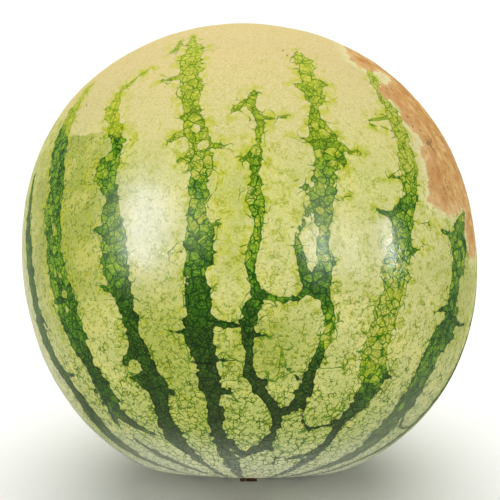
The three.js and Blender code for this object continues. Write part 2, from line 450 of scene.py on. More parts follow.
# %% Routes of the stripes in front
STRIPES = {
    "left rim": [
        (-67.5, 106, 1.5, .6), (-67, 99, 2.6, .7), (-67, 92, 3.8, .8), (-66, 86, 5, .8),
        (-66, 80, 4.6, .85), (-66, 75, 4.6, .85), (-66, 70, 5.2, .82), (-66.5, 65, 5, .85),
        (-65.4, 60, 4, .88), (-63.6, 56, 4.1, .9), (-62.7, 52, 4, .9), (-62.2, 48, 4.5, .85),
        (-62.9, 44, 6, .8), (-63, 40, 6, .78), (-62.4, 36, 5, .8), (-59.8, 32, 3.9, .8),
        (-57, 29, 2.9, .8), (-53, 26, 2.1, .8), (-47.5, 23, 1.6, .8), (-36, 17, 1.2, .8), (-20, 8, 1, .8)],
    "left": [
        (-55.5, 128, 2.4, .05), (-55.3, 123, 4, .2), (-55.3, 119, 5.2, .35),
        (-55.1, 115, 6.4, .55), (-54.4, 111, 6.2, .6), (-53.4, 107, 6.8, .6), (-52, 103, 6.2, .7),
        (-51, 99.5, 5.8, .72), (-52.4, 96, 7.6, .62), (-53.2, 93, 8.8, .5), (-52.2, 90, 7.2, .55),
        (-51.2, 87, 6.6, .65), (-52, 83.5, 7, .65), (-51.2, 80, 8, .6), (-50.4, 77, 8.4, .65),
        (-49.8, 73.5, 8.4, .65), (-49.2, 69.5, 8.6, .78), (-48.6, 66, 8, .8), (-48.1, 63, 7, .82),
        (-47.3, 59.5, 4, .9), (-46.7, 56, 4.1, .95), (-46, 52.5, 5.4, .9), (-45.5, 49.5, 6.4, .8),
        (-46.8, 46.2, 5.6, .75), (-45, 44.4, 4.2, .85), (-42.4, 42.2, 2.4, .9), (-39.8, 40.4, 1.8, .8),
        (-36.8, 39, 1.1, .7), (-33.8, 38.6, .9, .7), (-30.8, 39, 1.2, .8)],
    "left, lower": [
        (-47.8, 38, .6, .5), (-47.2, 36, 1.1, .7), (-45.6, 33.8, 1.8, .8), (-42.8, 31.4, 2.1, .85),
        (-40, 29.4, 2, .85), (-36.6, 27, 1.6, .85), (-32, 24.4, 1.1, .85), (-25, 19, .9, .8),
        (-14, 10, .7, .8)],
    "left of middle": [
        (-29.3, 128.6, .6, 0), (-31, 127.6, 1, .05), (-32.8, 125.6, 1.2, .05), (-34.8, 123.3, 1, .05),
        (-36.2, 121, 1.2, .05), (-36, 118.8, 2.6, .05), (-36, 116.7, 4.6, .05), (-34.8, 114.3, 3.4, .1),
        (-34, 112, 3.2, .15), (-32.7, 109.7, 3.6, .6), (-31.8, 107.5, 4.2, .65), (-32.1, 105, 3.2, .65),
        (-33.4, 102.6, 5.2, .5), (-34.4, 100.2, 6.6, .3), (-32.4, 98, 5.4, .55), (-31.8, 95.6, 2.8, .75),
        (-31.6, 93.3, 3.6, .7), (-31.4, 90.4, 6.4, .5), (-31.2, 87, 6.4, .55), (-31.2, 83, 6.8, .55),
        (-31.2, 79.5, 6.4, .6), (-31.4, 76.6, 6.8, .65), (-30.4, 74, 5.4, .85), (-29.5, 71, 4.4, .9),
        (-28.9, 68, 3.9, .9), (-28.5, 64.5, 3.8, .95), (-28.6, 61.5, 4, .95), (-29, 58.8, 6, .9),
        (-28, 55.5, 4.8, .95), (-26.5, 52.3, 5.6, .95), (-25.9, 50, 5.2, .95), (-26.7, 47, 3.2, .95),
        (-27.8, 44, 3, .95), (-28.4, 41.2, 4, .95), (-28.1, 38.6, 4.5, .95), (-27.2, 36, 3.8, .95),
        (-26.2, 33, 3.2, .95), (-24.5, 30, 2.4, .9), (-22.9, 27, 1.8, .85), (-21, 24.4, 1.3, .8),
        (-16, 17, 1, .8), (-8, 8, .8, .8)],
    "middle, upper strand": [(-25.5, 141, .8, 0), (-24.6, 138, 1.3, 0), (-24.6, 134.6, 1.4, 0)],
    "middle": [
        (-21.5, 143, 1, 0), (-20.5, 140, 1.8, 0), (-18.8, 137, 3, 0), (-17.2, 134.3, 5, 0),
        (-16.6, 131.5, 5.4, 0), (-17, 128.6, 5, .05), (-15.9, 126, 4.6, .05), (-15.3, 123, 4.3, .1),
        (-14.4, 120, 5.4, .2), (-14, 117.2, 5, .35), (-14.2, 114.6, 4.4, .5), (-13.3, 112, 4.2, .45),
        (-12, 109.2, 5.2, .12), (-11, 106, 6.4, .05), (-10.7, 102.5, 6.2, .02), (-10.4, 99, 4.4, .1),
        (-10.6, 96.5, 4.4, .35), (-10.6, 94, 4.6, .4), (-11, 91.4, 3.9, .38), (-11, 89, 3.9, .4),
        (-10.6, 86.4, 5.8, .42), (-10.9, 83.5, 6.4, .6), (-11, 80.8, 6.8, .6), (-11.3, 77.5, 4.7, .72),
        (-11.6, 74.5, 4.2, .85), (-11.2, 71.5, 5.6, .9), (-11.3, 68.3, 6.2, .9), (-12, 65.3, 6.2, .95),
        (-11.6, 61.5, 5.6, 1), (-10.9, 57.5, 5.2, 1), (-10.4, 53.5, 4.6, 1), (-10.2, 49.5, 4.2, 1),
        (-10.1, 45.5, 3.7, 1), (-10.3, 41.5, 3.4, 1), (-10.9, 37.5, 3.1, 1), (-9.9, 33.5, 3.4, .95),
        (-8.8, 29.5, 3.7, .85), (-8, 26.2, 3.4, .85), (-7.2, 23.2, 2.3, .85), (-5, 17, 1.4, .8),
        (-2, 7, 1, .8)],
    "right of middle": [
        (1.2, 119.4, .7, .2), (1.4, 117.6, 2.3, .35), (.3, 115.6, 2.8, .4), (1, 114, 1.8, .6),
        (2.2, 112.3, 1.8, .55), (2.8, 109.8, 1.9, .5), (2.4, 107.6, 1.6, .5), (2, 105.2, 1.6, .4),
        (1.5, 102.6, 3.3, .12), (1.7, 99.4, 2.5, .4), (1.8, 96.4, 1.7, .35), (1, 93.6, 3.8, .02),
        (1.9, 91, 3.1, .3), (2.2, 88, 2.1, .5), (2, 85.2, 2.1, .5), (1.2, 82.3, 2.4, .5),
        (.5, 79.6, 2.8, .5), (.5, 77, 1.8, .6), (1.5, 74.2, 1.7, .7), (2, 71.6, 2.9, .8),
        (.8, 68.7, 3.6, .9), (-.1, 66, 3.7, .95), (-.2, 63, 2.7, .95), (.3, 60.2, 2.1, .95),
        (.2, 57.2, 1.8, .95), (.3, 54.8, 2.7, 1), (2.2, 52.2, 3.1, 1), (4.4, 49.6, 2.2, 1),
        (6.6, 47, 2, 1), (9, 44.4, 2.3, 1), (9.6, 42, 1.7, 1), (8.7, 39.6, 1.6, 1),
        (7.8, 36.8, 2, 1), (6, 34.4, 3.1, 1), (3, 33.2, 2.8, 1), (.2, 31.6, 1.5, .95),
        (-2.4, 30.2, 1, .9), (-4.6, 29, .9, .9)],
    "right, upper": [
        (16.2, 133.6, 2, 0), (16.6, 131.4, 4, 0), (16.7, 128.5, 4, .03), (16.6, 125.4, 3.6, .15),
        (17, 122.3, 6, .3), (17.2, 119.4, 4.6, .36), (16.8, 116.7, 3.2, .4), (16.4, 114.2, 2.2, .5),
        (16.2, 112, 2.6, .45), (17, 110, 4.6, .45), (17.5, 107.3, 6.2, .42), (18.6, 104.6, 7, .42),
        (18, 102, 6.8, .38), (17.3, 99.6, 5, .45), (16.4, 97, 5.2, .42), (15.9, 94.5, 5.6, .4),
        (16.2, 91.7, 5, .45), (16.5, 88.5, 3, .4), (16.5, 85, 2.8, .35), (16.5, 82, 3.6, .4),
        (17, 79, 3.7, .5), (16.9, 76.6, 3.6, .6), (16.6, 74.2, 3.4, .8), (17.5, 72, 2.7, .8),
        (18.4, 69.5, 2.5, .7), (19.2, 67, 2.4, .4), (19.2, 64.2, 2.5, .3), (18.6, 61.6, 2.4, .4),
        (17.6, 59.2, 2, .8), (17, 56.7, 2, .9), (16.2, 54, 2.8, 1), (15.6, 51.2, 3.5, 1),
        (14.6, 48.2, 3, 1), (12, 45.6, 2, 1), (9.8, 43.9, 1.8, 1)],
    "right, upper, left strand": [
        (14, 92, 1.2, .3), (12.8, 89.6, 1.2, .2), (11.4, 87, 1.1, .2), (10.4, 84.6, 1.2, .3),
        (10.8, 82.2, 1.8, .4), (11.5, 79.6, 2, .6), (12.5, 77, 2.3, .7), (13.6, 74.6, 3, .8),
        (15.5, 73, 3, .8)],
    "right": [
        (42, 134, 1.2, 0), (40.2, 130, 3, 0), (39, 126, 3, 0), (39.8, 122, 3.2, .02),
        (40, 118.5, 4, 0), (40.4, 115, 4.6, 0), (40.5, 112, 4.6, 0), (41, 109, 4.2, .04),
        (40.4, 106, 5.4, .05), (40, 103, 6, .03), (39.6, 100, 4.7, .2), (39.5, 97.3, 4.2, .45),
        (39.2, 94.8, 4.4, .6), (37.4, 92, 5.2, .5), (35.8, 89.5, 6.6, .5), (36.2, 87, 5.4, .5),
        (35.6, 84, 6.2, .45), (34.6, 81, 7.6, .3), (35.2, 78, 7.2, .2), (35.5, 75.5, 6.6, .15),
        (34.6, 72.2, 6.8, .1), (33.4, 69.2, 7, .02), (33.1, 66, 6.2, .02), (32.9, 63, 6.6, .08),
        (32.9, 60, 6.6, .2), (34, 57, 7, .4), (35, 54, 6, .6), (35, 51, 5.6, .75),
        (34.6, 48.6, 5, .8), (32.8, 46, 3.2, .9), (31, 43.4, 2.7, .95), (30.8, 40.6, 2, .95),
        (30.9, 37.6, 1.9, 1), (30.4, 34.6, 2.8, .95), (29.2, 31.6, 3.3, .9), (28.4, 28.8, 2.8, .85),
        (27, 26.4, 2.1, .85), (23, 23, 1.4, .8), (14, 14, 1, .8), (3, 5, .8, .8)],
    "right rim": [
        (64.5, 97, 1, .5), (62.2, 94.8, 2.8, .5), (60.2, 92, 4.4, .55), (59.6, 89.3, 7.4, .6),
        (58.6, 87, 8.2, .6), (59.2, 84.5, 7.2, .65), (58, 82, 5.2, .68), (57.6, 79, 5.2, .7),
        (57.5, 76, 4.3, .75), (57.6, 73, 4.3, .78), (58.4, 70.6, 6, .8), (58, 68, 7.4, .8),
        (56, 65.6, 8, .78), (54.6, 63, 7.2, .72), (54.5, 59, 7.2, .68), (54.5, 55, 6.7, .75),
        (54.5, 51, 6.2, .78), (54.5, 47, 7.2, .7), (54, 43, 6.7, .7), (53.5, 39, 6.2, .75),
        (54, 35.2, 5, .8), (52.8, 32, 4.2, .8), (50, 29.2, 3.4, .8), (46, 26.4, 2.5, .8),
        (41, 23.8, 1.8, .8), (30, 18, 1.2, .8), (12, 8, .9, .8)],
    "past the right rim": [
        (77, 90, 1, .5), (78.3, 84, 3, .7), (79, 78, 4.4, .75), (79, 72, 4.6, .8), (78.5, 66, 4.4, .8),
        (78, 60, 4.5, .8), (77, 54, 4, .8), (76, 49, 3.5, .8), (75, 44, 3, .8), (73, 39, 3, .8),
        (70, 34, 2.5, .8), (66, 30, 2, .8), (56, 23, 1.6, .8), (38, 13, 1.2, .8)],
}
print("routes in front:", len(STRIPES))

# %% [markdown]
# Thin spurs stick out of a stripe's sides, and a few reach across to the next stripe. They are
# short routes of the same kind, and they start inside their stripe so that no gap is left.

# %% Spurs and links between the stripes in front
SPURS = [
    [(-64.5, 72, 2, .8), (-62.2, 69, 1.3, .8), (-60.8, 67, .6, .6)],
    [(-62.5, 57, 1.8, .8), (-59, 55.9, .8, .8), (-54.5, 55.6, .2, .5)],
    [(-48.8, 44.6, 2.4, .8), (-50.4, 42, 1.3, .6), (-51, 39.6, .3, .4)],
    [(-45, 51, 1.4, .9), (-41.6, 51, .3, .8), (-39.5, 50.4, .1, .6)],
    [(-49, 51.5, 1.5, .8), (-52.5, 51, .3, .6)],
    [(-34, 88, 1.5, .6), (-37.4, 88, .4, .5)],
    [(-34, 99.7, 1.5, .4), (-39.6, 99.6, .4, .4)],
    [(-31.5, 107.8, 2, .6), (-28.6, 108, 1.3, .5)],
    [(-32.5, 74.6, 3, .6), (-35, 75, 1.8, .5), (-37.6, 75.8, .4, .3)],
    [(-33, 87.6, 3, .5), (-36.6, 88, .8, .4)],
    [(-31, 59, 2.8, .85), (-33.4, 58.2, 1.8, .7), (-34.8, 57, .5, .6)],
    [(-30, 54, 2, .85), (-32.6, 53.4, 1.1, .6), (-34, 54.4, .4, .5)],
    [(-31.8, 57.4, 1.6, .3), (-32, 55.4, 1.4, .25)],
    [(-29.5, 52, 1.5, .9), (-33.2, 51.4, .3, .7)],
    [(-24, 52.5, 1.4, .9), (-21.4, 51.2, .6, .8), (-21.5, 48, .3, .7)],
    [(-29.5, 31.5, .8, .7), (-26.5, 33, 1, .8)],
    [(-16.5, 125, 2.4, 0), (-20, 124.2, 1.4, 0), (-23.6, 123.8, .9, 0)],
    [(-13, 109, 2, .2), (-16.4, 107.6, 1.8, .1), (-18, 106.4, .8, .05)],
    [(-12, 102, 2, .1), (-16, 101.6, .7, .05)],
    [(-13, 81, 1.6, .6), (-17.6, 81, .5, .4)],
    [(-8.5, 81, 1.6, .6), (-5.6, 80.8, .5, .5)],
    [(-8.5, 87, 1.6, .5), (-5.7, 87.2, .5, .4)],
    [(-8.5, 105, 1.8, .4), (-5.8, 104.6, .9, .2), (-4.4, 105.2, .3, .2)],
    [(-9, 67, 3, .9), (-6.5, 65.6, 1.6, .9), (-3, 65.2, 1.4, .95)],
    [(-14.5, 64.4, 2, .95), (-17.2, 63.8, 1, .8), (-18.8, 64.6, .3, .6)],
    [(-14.5, 81.2, 1, .6), (-15.5, 83, .2, .6)],
    [(-8.5, 57.6, 1.2, 1), (-3.6, 57.8, .5, .7)],
    [(-7.5, 50, 2, 1), (-4.6, 50.4, 1, .9), (-3.6, 53, .3, .6)],
    [(-5, 49.5, .8, .9), (-2.6, 46, .3, .6)],
    [(-6.5, 36, 1.6, .9), (-4, 31.5, 1.5, .9), (-2.5, 30.6, 1.2, .9)],
    [(-.6, 115.6, 1.8, .45), (-2.6, 114.6, 1.6, .4), (-4.2, 112.6, .7, .3)],
    [(2.4, 112, 1.4, .3), (5.5, 111.4, .7, 0), (9, 112, .3, 0)],
    [(1.6, 102.6, 1.5, .1), (-1.6, 101.2, .9, .02)],
    [(3, 71.6, 2, .8), (5.6, 71.2, 1.2, .7), (8.6, 70.8, 1.4, .65), (11.5, 71.8, 1.5, .7),
     (14, 73.4, 2.4, .8)],
    [(1, 63.6, 1, .9), (4.4, 63.4, .5, .7)],
    [(10.6, 60, .4, .5), (10.8, 57, .7, .8), (12.8, 53.6, .9, .9), (14.6, 52, 1.3, 1)],
    [(8, 60.5, .5, .2), (8.6, 57.4, 1.5, .2), (10.2, 55.4, 1.2, .3)],
    [(5.2, 53.4, .6, .9), (4.8, 50.6, 1.2, 1)],
    [(17, 122, 2.4, .2), (13, 121.2, 2, .25), (12, 121.6, .8, .2)],
    [(19, 122.6, 2.2, .25), (21.6, 122.8, .8, .2)],
    [(18.5, 119.4, 2, .3), (21.4, 118.8, .6, .1)],
    [(14, 107, 1.5, .4), (10.6, 107, .3, .2)],
    [(21, 106, 2, .4), (23.6, 104.8, 1, .4), (26.5, 105, .3, .2)],
    [(21.4, 103.6, 1.8, .5), (22.4, 101, 1, .5), (21, 100.2, .3, .4)],
    [(14, 95.6, 1.6, .4), (10.6, 95.4, .6, .4)],
    [(18.6, 94.8, 1.2, .5), (22.4, 94.6, .2, .1)],
    [(16.4, 46.8, 1.2, 1), (16.2, 44, .8, .95), (17.6, 42, .9, .95), (19.6, 40.8, .9, .95),
     (21.6, 40.3, .8, .95), (24, 40.9, .9, .95), (26.8, 41.8, 1.1, .95), (29, 43, 1.6, .95)],
    [(21, 40.2, .6, .9), (20.8, 37.6, .3, .5), (20.5, 35, .2, .4), (21, 32, .4, .7)],
    [(14, 29.6, .7, .6), (18, 29.4, 1.3, .8), (22, 29.9, 1.7, .85), (26, 31, 1.4, .9)],
    [(26, 44.4, .3, .8), (28.6, 43.4, .9, .9)],
    [(5.5, 33, 1, .9), (5.6, 30, .4, .6), (5.4, 26, .2, .5)],
    [(8.8, 34, .9, .9), (11.4, 31, .6, .7), (12.8, 28.6, .8, .7), (11.4, 25.8, .5, .6)],
    [(38.4, 116, 1.2, 0), (35, 114.6, .9, 0), (30.6, 113.6, .6, 0)],
    [(38.4, 111.4, .9, 0), (35.4, 112.4, .8, 0), (31, 112.6, .5, 0)],
    [(37.6, 100, 1.2, .2), (33.4, 99.7, .4, .2)],
    [(35, 90.6, 2, .4), (31.6, 90.8, 1.5, .4), (29.4, 91.6, .6, .3)],
    [(39.6, 83.4, 1.4, .4), (42.6, 84.6, .6, .2), (45, 86.6, .3, .1)],
    [(40, 89.4, .6, .4), (44.5, 90.2, .1, .2), (50, 89.8, .5, .5), (53.4, 89.2, 1.8, .7),
     (56, 88, 2.6, .7)],
    [(38, 55.5, 1.6, .9), (41.6, 55, .5, .8)],
    [(37, 48, 1.6, .8), (39.6, 46, .4, .6)],
    [(31, 69.6, 1, .2), (28.6, 69.6, .4, .1)],
    [(30, 57.6, 1.2, .3), (26.6, 56.6, .5, .1), (21.6, 56.6, .3, .05)],
    [(56, 77, 1, .8), (54.4, 76.6, .3, .7)],
    [(55.5, 72.4, 1.8, .8), (52, 71.6, 1.1, .8), (50, 71, .5, .8)],
    [(60.5, 70, 2, .8), (64.8, 69.6, 1.2, .8), (70, 70.4, .4, .6)],
    [(60, 66.8, 2, .8), (65, 66, .8, .8), (68.4, 64.8, .3, .6)],
    [(57.6, 46.5, 2, .8), (60.6, 43.2, 1, .8), (65.6, 42, .7, .8), (71, 42.6, .8, .8), (75.6, 44.6, 1, .8)],
]
print("spurs and links in front:", len(SPURS))

# %% [markdown]
# The far side has the same kind of stripes, at the same spacing of about twenty degrees. No
# two are alike, so each one gets its own sway, widths and spurs from seeded random draws. A
# draw is averaged with its neighbours, or the stripe would zigzag.

# %% Routes of the stripes behind
BEHIND = (99, 118, 138, 158, 178, 199, 219, 239, 258, 275)  # longitudes
ANGLES = np.arange(172, 4, -4.0)  # where each route has its stops
SWAY = 1.6  # degrees that a stop strays, before its neighbours smooth it
WIDTH_SHARE, SOLIDITY_SHARE = .3, .12  # how much a swelling adds to either
THINNEST = .8  # mm, half a width
SPURS_EACH = 9

draw = np.random.default_rng(18)
half_widths = np.interp(
    ANGLES, [4, 20, 35, 55, 90, 125, 150, 176], [1, 2, 4, 5.8, 5.2, 5.2, 4, 1.5])
solidities = np.interp(ANGLES, [10, 60, 90, 130, 175], [.85, .92, .65, .55, .6])


def smooth_draws(spread, neighbours):
    """A random number for each angle, averaged over so many neighbours."""
    draws = draw.normal(0, spread, len(ANGLES) + neighbours - 1)
    return np.convolve(draws, np.ones(neighbours) / neighbours, "valid")


for middle in BEHIND:
    sways = smooth_draws(SWAY, 5) * 2  # doubled, because averaging shrinks them
    swells = smooth_draws(1, 3)
    route = [
        (middle + sway, angle, max(half * (1 + WIDTH_SHARE * swell), THINNEST),
         min(max(firm + SOLIDITY_SHARE * swell, 0), 1))
        for angle, sway, half, swell, firm in zip(ANGLES, sways, half_widths, swells, solidities)]
    STRIPES[f"behind at {middle}"] = route
    for _ in range(SPURS_EACH):
        lon, ang, half, firm = route[draw.integers(6, len(route) - 5)]  # away from both ends
        side = draw.choice([-1, 1])
        reach = half / 2 + draw.uniform(1.5, 4.5)  # degrees
        rise = draw.uniform(-1.5, 1.5)  # degrees
        SPURS.append([
            (lon, ang, 2, firm), (lon + side * half / 2, ang, 1.2, firm),
            (lon + side * reach, ang + rise, .3, firm)])
print("routes in all:", len(STRIPES), "and spurs:", len(SPURS))

# %% [markdown]
# The material has to know, at each point of the skin, how deep in a stripe it is. Cutting a
# route's corners twice makes it smooth, and close samples along it each stand for a disc as
# wide as the stripe is there. A point's depth is how far inside the best disc it lies.

# %% How deep each point of the skin lies in a stripe
STEP = 1.2  # mm between samples along a route
AT_ONCE = 256  # samples compared with the whole skin in one go, to spare memory
FAR_OUTSIDE = -99  # mm


def sampled(route):
    """A route as closely spaced samples: unit vector, half width and solidity."""
    stops = np.array(route, float)
    for _ in range(2):
        cut = np.empty((2 * len(stops), 4))
        cut[0], cut[-1] = stops[0], stops[-1]
        cut[1:-1:2] = stops[:-1] * .75 + stops[1:] * .25
        cut[2:-1:2] = stops[:-1] * .25 + stops[1:] * .75
        stops = cut
    places = on_globe(stops[:, 0], stops[:, 1]) * GLOBE_RADIUS
    length = np.concatenate([[0], np.cumsum(np.linalg.norm(np.diff(places, axis=0), axis=1))])
    at = np.linspace(0, length[-1], max(int(length[-1] / STEP), 2))
    lon, ang, half, firm = [np.interp(at, length, stops[:, k]) for k in range(4)]
    return np.column_stack([on_globe(lon, ang), half, firm])


samples = np.concatenate([sampled(r) for r in list(STRIPES.values()) + SPURS]).astype(np.float32)
depth = np.full(len(unit), FAR_OUTSIDE, np.float32)
solidity_here = np.zeros(len(unit), np.float32)
breadth = np.zeros(len(unit), np.float32)
unit32 = unit.astype(np.float32)
for start in range(0, len(samples), AT_ONCE):
    part = samples[start : start + AT_ONCE]
    within = part[:, 3] - mm_between(unit32 @ part[:, :3].T)
    best = within.argmax(1)
    value = within[np.arange(len(unit)), best]
    deeper = value > depth
    depth[deeper] = value[deeper]
    breadth[deeper] = part[best[deeper], 3]
    solidity_here[deeper] = part[best[deeper], 4]
print("route samples:", len(samples), "share of skin in stripes:", round(float((depth > 0).mean()), 3))

# %% [markdown]
# Where a stripe splits and closes again it leaves an island of pale rind. Each island is a
# round hole in the depth.

# %% Pale islands in the stripes
# Each row: longitude, angle from the stem and radius in mm.
ISLANDS = [
    (-51.6, 91, 1.6), (-51.4, 93.4, 1.2), (-50.5, 80.6, 1.9), (-50.2, 78.8, 1.5), (-49.2, 74.6, 1.5),
    (-49.6, 71.6, 2), (-31.5, 56.2, 3.2), (-12.4, 109.2, 2.2), (-10.2, 104.6, 3), (-15, 106, 2.6),
    (-13.6, 101.6, 2.2), (.3, 68.2, .9), (29.6, 76.4, 1.6)]
for lon, ang, radius in ISLANDS:
    depth = np.minimum(depth, mm_between(unit @ on_globe(lon, ang)) - radius)
print("islands:", len(ISLANDS))

# %% [markdown]
# ## The ground spot and the crust
#
# Where a melon lies on the soil its rind stays cream. Here that spot covers the top of the
# front. Its edge is crisp on the left, where the soil ended, and soft elsewhere. The edge goes
# once round the fruit, so one angle and one softness for each longitude describe it.

# %% The ground spot's edge
# Each row: longitude, angle from the stem at the spot's edge, softness of the edge in mm.
GROUND_EDGE = np.array([
    (-180, 158, 9), (-150, 152, 9), (-125, 146, 8), (-105, 138, 8), (-90, 131, 7), (-76, 125, 6),
    (-66, 122, 6), (-60, 119, 5), (-56, 117, 4), (-52.5, 114.2, 1), (-51, 113.6, .6), (-46, 112.4, .6),
    (-40, 111, .6), (-35, 110.2, .6), (-31, 109.8, 1), (-28, 108, 8), (-22, 105, 16), (-12, 106, 20),
    (0, 103, 22), (10, 104, 22), (20, 107, 20), (30, 106, 18), (40, 102, 16), (50, 100, 14),
    (60, 104, 12), (75, 112, 9), (90, 122, 8), (110, 138, 8), (140, 152, 9), (180, 158, 9)])
edge_angle, edge_softness = [
    np.interp(longitude, GROUND_EDGE[:, 0], GROUND_EDGE[:, k]) for k in (1, 2)]
MM_PER_DEGREE = GLOBE_RADIUS * math.pi / 180
ground = (from_stem - edge_angle) * MM_PER_DEGREE
print("share of skin in the ground spot:", round(float((ground > 0).mean()), 3))

# %% [markdown]
# On the upper right the young rind rubbed on something and healed with a tan corky crust. Its
# edge has bays and tongues, so it is an outline of places on the map. A point is inside where a
# line drawn from it crosses the outline an odd number of times.

# %% The crust's outline
CRUST = [
    (35.6, 134.6), (37.5, 138.5), (41, 142), (46, 146), (52, 150), (62, 152), (74, 148), (82, 138),
    (85, 124), (83, 110), (78, 98), (74, 90), (71, 86.4), (67.5, 85.4), (64.8, 86), (64.6, 89),
    (63, 91.6), (63.4, 94.6), (65, 96.6), (62.4, 97), (60, 95.4), (57.5, 94.6), (54.6, 93.6),
    (51, 94.4), (48, 94.6), (45.4, 95.6), (46.6, 98.6), (47.4, 101.6), (47.8, 105), (46.4, 108),
    (49, 110.4), (48.6, 113.4), (45.8, 114), (43.4, 116), (44.8, 119.4), (43.6, 121.6), (40.4, 121.8),
    (38.8, 124.6), (41.6, 127), (45, 128), (48.6, 129.4), (51.6, 131.4), (53.5, 133.6), (50, 134.4),
    (46.4, 133), (43, 131.6), (39.8, 131.4), (37.4, 132.6)]
POINTS_A_SIDE = 12  # for measuring how far it is to the outline

outline = np.array(CRUST + CRUST[:1], float)
inside = np.zeros(len(unit), bool)
for (lon0, ang0), (lon1, ang1) in zip(outline[:-1], outline[1:]):
    crossing = (ang0 > from_stem) != (ang1 > from_stem)
    at = lon0 + (lon1 - lon0) * (from_stem - ang0) / (ang1 - ang0 if ang1 != ang0 else 1)
    inside ^= crossing & (longitude < at)
sides = zip(outline[:-1], outline[1:])
rim = np.concatenate([np.linspace(a, b, POINTS_A_SIDE, endpoint=False) for a, b in sides])
rim_places = on_globe(rim[:, 0], rim[:, 1]).astype(np.float32)
nearest = np.full(len(unit), -1, np.float32)
for start in range(0, len(rim_places), AT_ONCE):
    nearest = np.maximum(nearest, (unit32 @ rim_places[start : start + AT_ONCE].T).max(1))
crust = mm_between(nearest) * np.where(inside, 1, -1)
print("share of skin under crust:", round(float(inside.mean()), 3))

# %% [markdown]
# A fruit from the field is never spotless. A few scratches and small scars are routes too, and
# the material colours them by what they cross.

# %% Scratches and scars
# Each stop of a route: longitude, angle from the stem, half the width in mm.
SCRATCHES = [
    [(-14.6, 57.2, .8), (-9, 57, 1.1), (-3, 57.4, .8)],
    [(51.4, 113.6, .4), (52.8, 112, 1.5), (54.2, 110.6, .9), (55.4, 109.6, .3)],
    [(50.8, 111.4, .4), (53.4, 112.4, .9), (55.8, 113.6, .3)],
    [(-50.8, 124.2, .3), (-49.4, 122, .6), (-47.6, 119.8, .4)],
    [(-48.4, 122.4, .3), (-47, 121.4, .4)],
    [(10.4, 135.6, .7), (11.6, 133, .8), (12.8, 131, .6)],
    [(8.6, 140.6, .6), (10.4, 141.4, 1), (12, 140.4, .6)],
    [(13.6, 125.6, .3), (14, 122, .4)],
    [(54, 100.4, .9), (54.6, 98.4, .7)],
    [(56, 103.4, .7), (56.6, 101, .9)],
]
scratch = np.full(len(unit), float(FAR_OUTSIDE))
for route in SCRATCHES:
    for sample in sampled([stop + (0,) for stop in route]):
        scratch = np.maximum(scratch, sample[3] - mm_between(unit @ sample[:3]))
print("scratches:", len(SCRATCHES))

# %% [markdown]
# The rind's colour drifts from place to place: greener where it had more shade, yellower where
# it ripened first, and milky where the wax bloom is thick because nothing rubbed it off. The
# milky patches are also painted light: a painted sheen beside the highlights, and painted
# reflections of the white room along the rims. Each drift is a few soft patches on the map. All
# of these numbers are kept on the mesh as attributes, which the material can read by name.

# %% Numbers that the material reads from the skin
# Each row: a patch's longitude and angle from the stem, its reach both ways, and its strength.
GREENER = [
    (-48, 94, 19, 32, 1.15), (-4, 96, 6, 24, .4), (-22, 60, 13, 17, .9), (-15, 43, 9, 12, .7),
    (3, 61, 13, 11, .9), (60, 76, 12, 22, .5), (180, 90, 100, 70, .5)]
YELLOWER = [
    (-6, 92, 5, 16, .7), (-4, 104, 6, 7, .5), (-2, 80, 4, 8, .4), (8, 96, 6, 12, .4),
    (-22, 108, 7, 12, .35), (28, 104, 8, 10, .3), (180, 100, 70, 40, .3)]
# Milky patches: wax bloom, and also a painted sheen beside the highlights and painted reflections of the
# white room along the rims.
BLOOM_AND_SHEEN = [
    (-25, 88, 9, 12, .75), (-12, 87, 4, 7, .35), (16, 88, 5, 11, .5), (32, 84, 4, 7, .6),
    (-84, 68, 20, 40, 1), (-60, 30, 30, 14, .6), (66, 34, 26, 22, .6), (180, 60, 60, 40, .35)]


def strongest_patch(rows, start):
    """For each point of the skin, the strength there of the strongest of some soft patches."""
    strongest = np.full(len(unit), float(start))
    for lon, ang, reach_lon, reach_ang, strength in rows:
        sideways = ((longitude - lon + 180) % 360 - 180) / reach_lon
        lengthways = (from_stem - ang) / reach_ang
        patch = strength * np.exp(-((sideways ** 2 + lengthways ** 2) ** 1.5))
        strongest = np.maximum(strongest, patch)
    return strongest


SKIN_NUMBERS = {
    "stripe_depth": depth, "breadth": breadth, "solidity": solidity_here, "ground": ground,
    "ground_softness": edge_softness, "crust": crust, "from_stem": from_stem, "scratch": scratch,
    "greener": strongest_patch(GREENER, .1), "yellower": strongest_patch(YELLOWER, 0),
    "bloom_and_sheen": strongest_patch(BLOOM_AND_SHEEN, 0),
}
for name, values in SKIN_NUMBERS.items():
    mesh.attributes.new(name, "FLOAT", "POINT").data.foreach_set("value", values.astype(np.float32))
print("attributes:", list(SKIN_NUMBERS))

# %% [markdown]
# ## Relief
#
# The rind is never quite even: it swells a little in patches three or four centimetres wide,
# which bends the reflections. The crust is rough and stands a few tenths of a millimetre
# proud. Displace modifiers move the points out and in along their normals, each only where a
# vertex group says so. The flat spot that the fruit rests on stays flat.

# %% Swelling and crust
SOFT_EDGE = 1.5  # mm on each side of the crust's outline

crusty = skin.vertex_groups.new(name="crust area")
for index in np.flatnonzero(crust > -SOFT_EDGE):
    weight = float(np.clip((crust[index] + SOFT_EDGE) / (2 * SOFT_EDGE), 0, 1))
    crusty.add([int(index)], weight, "REPLACE")
heights = points[:, 2] + BALL_CENTRE.z
free = skin.vertex_groups.new(name="off the table")
# Each row: a height above the table in mm, and how free the skin is above it.
for level, weight in ((.4, .25), (1.2, .5), (2.4, .75), (4, 1)):
    free.add([int(i) for i in np.flatnonzero(heights > level * MM)], weight, "REPLACE")
# Each row: name, width and height of the bumps in mm, and the vertex group.
for name, size, tall, group in (
    ("swelling", 34, .7, free), ("ripple", 11, .22, free), ("crust relief", 2.6, .4, crusty),
):
    push_out(skin, name, size * MM, tall * MM, group.name)
apply_modifiers(skin)
print("rind box after relief (mm):", box_in_mm(skin))

